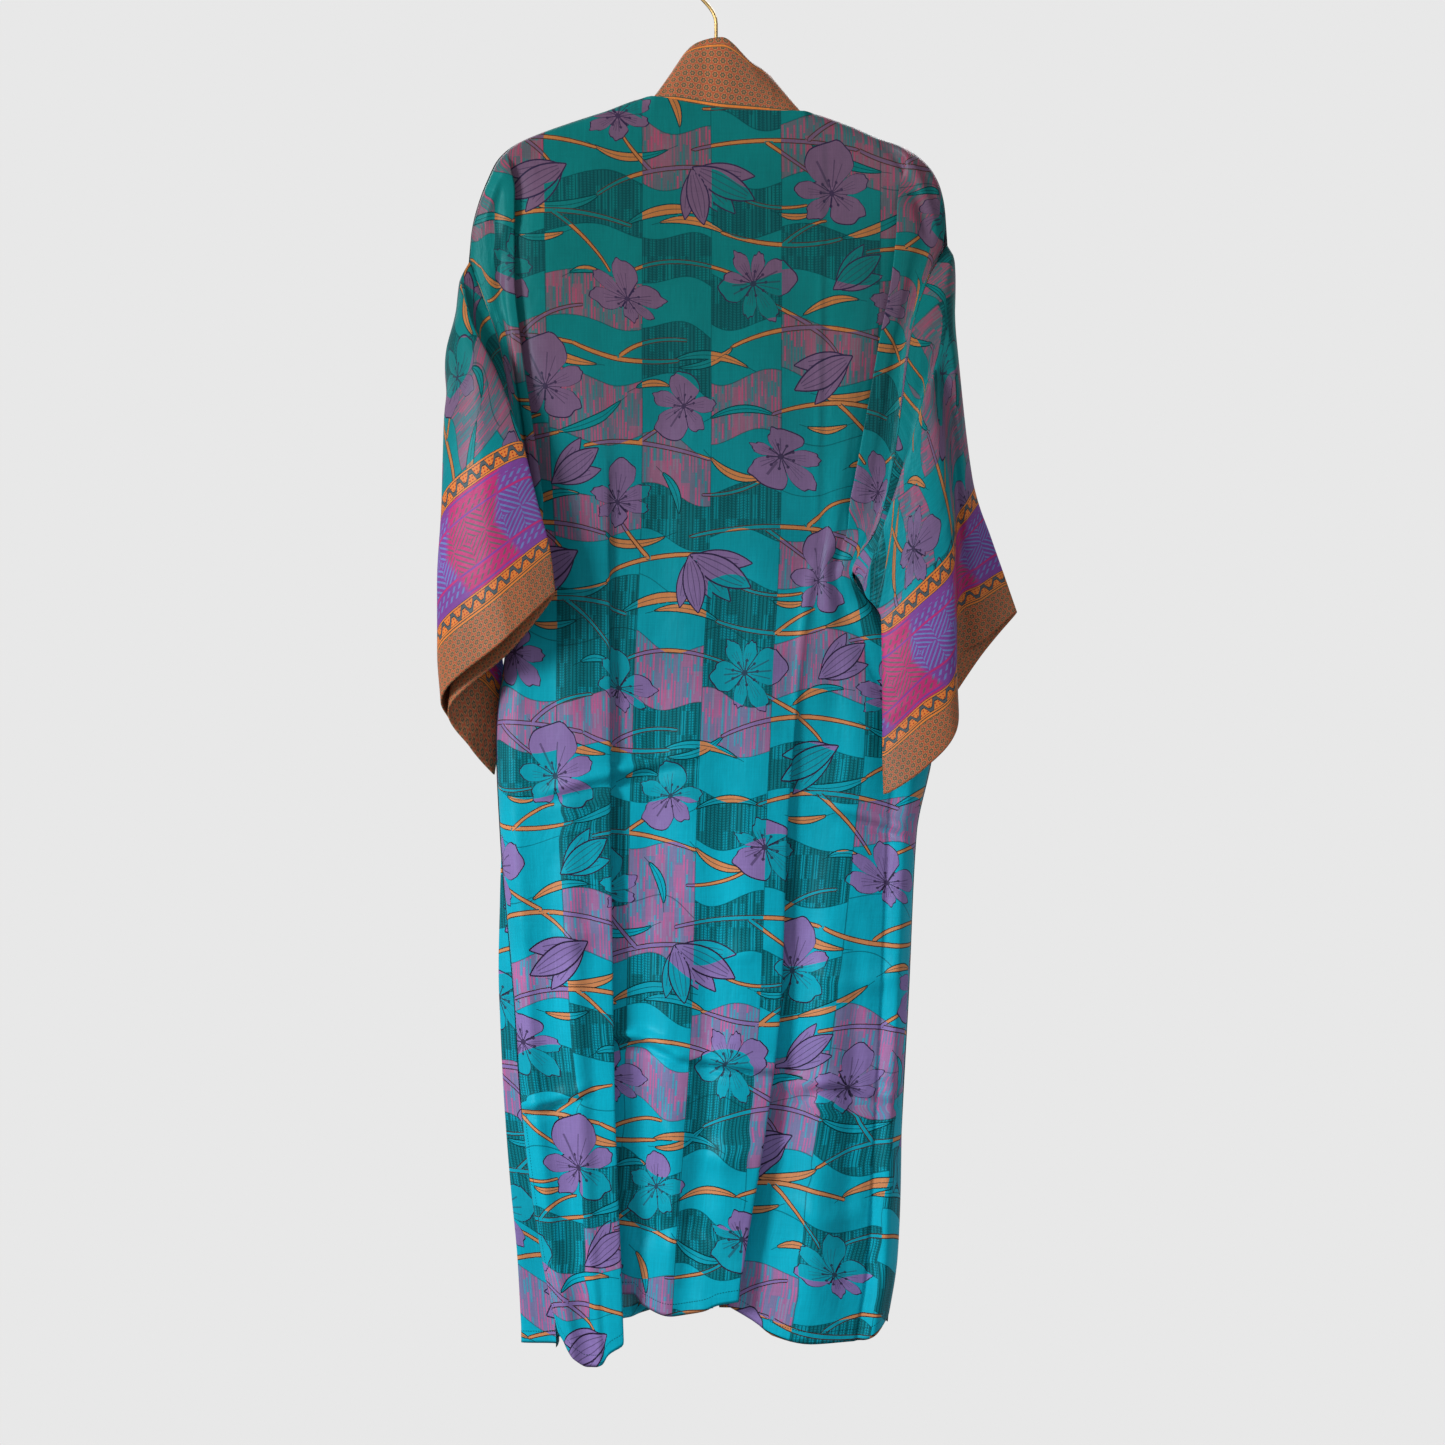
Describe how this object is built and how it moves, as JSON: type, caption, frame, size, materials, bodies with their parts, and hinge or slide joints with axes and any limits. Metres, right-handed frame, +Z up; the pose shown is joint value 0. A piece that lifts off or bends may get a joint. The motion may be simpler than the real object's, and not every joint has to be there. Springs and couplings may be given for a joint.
{
  "type": "kimono robe on a clothes hanger",
  "caption": "Long printed silk kimono robe with wide bordered sleeves and a folded neck band, hanging on a thin clothes hanger with a wire hook.",
  "frame": {"origin": "inside top of the hanger's hook, where it rests on a rod", "axes": "+Z up, the robe's back faces +Y and its front -Y, +X towards the wearer's left"},
  "size_m": [0.5814, 0.1167, 1.4136],
  "materials": {
    "printed_silk": "soft sheen, patchwork floral print on teal",
    "border_silk": "matt, small tan geometric print",
    "gold_metal": "satin gold"
  },
  "bodies": {
    "root": {"back_panel": "printed_silk", "front_panel_left": "printed_silk", "front_panel_right": "printed_silk", "sleeve_left": "printed_silk", "sleeve_right": "printed_silk", "cuff_left": "border_silk", "cuff_right": "border_silk", "neck_band_back": "border_silk", "neck_band_left": "border_silk", "neck_band_right": "border_silk", "hanger_hook": "gold_metal", "hanger_arms": "gold_metal"}
  },
  "joints": []
}
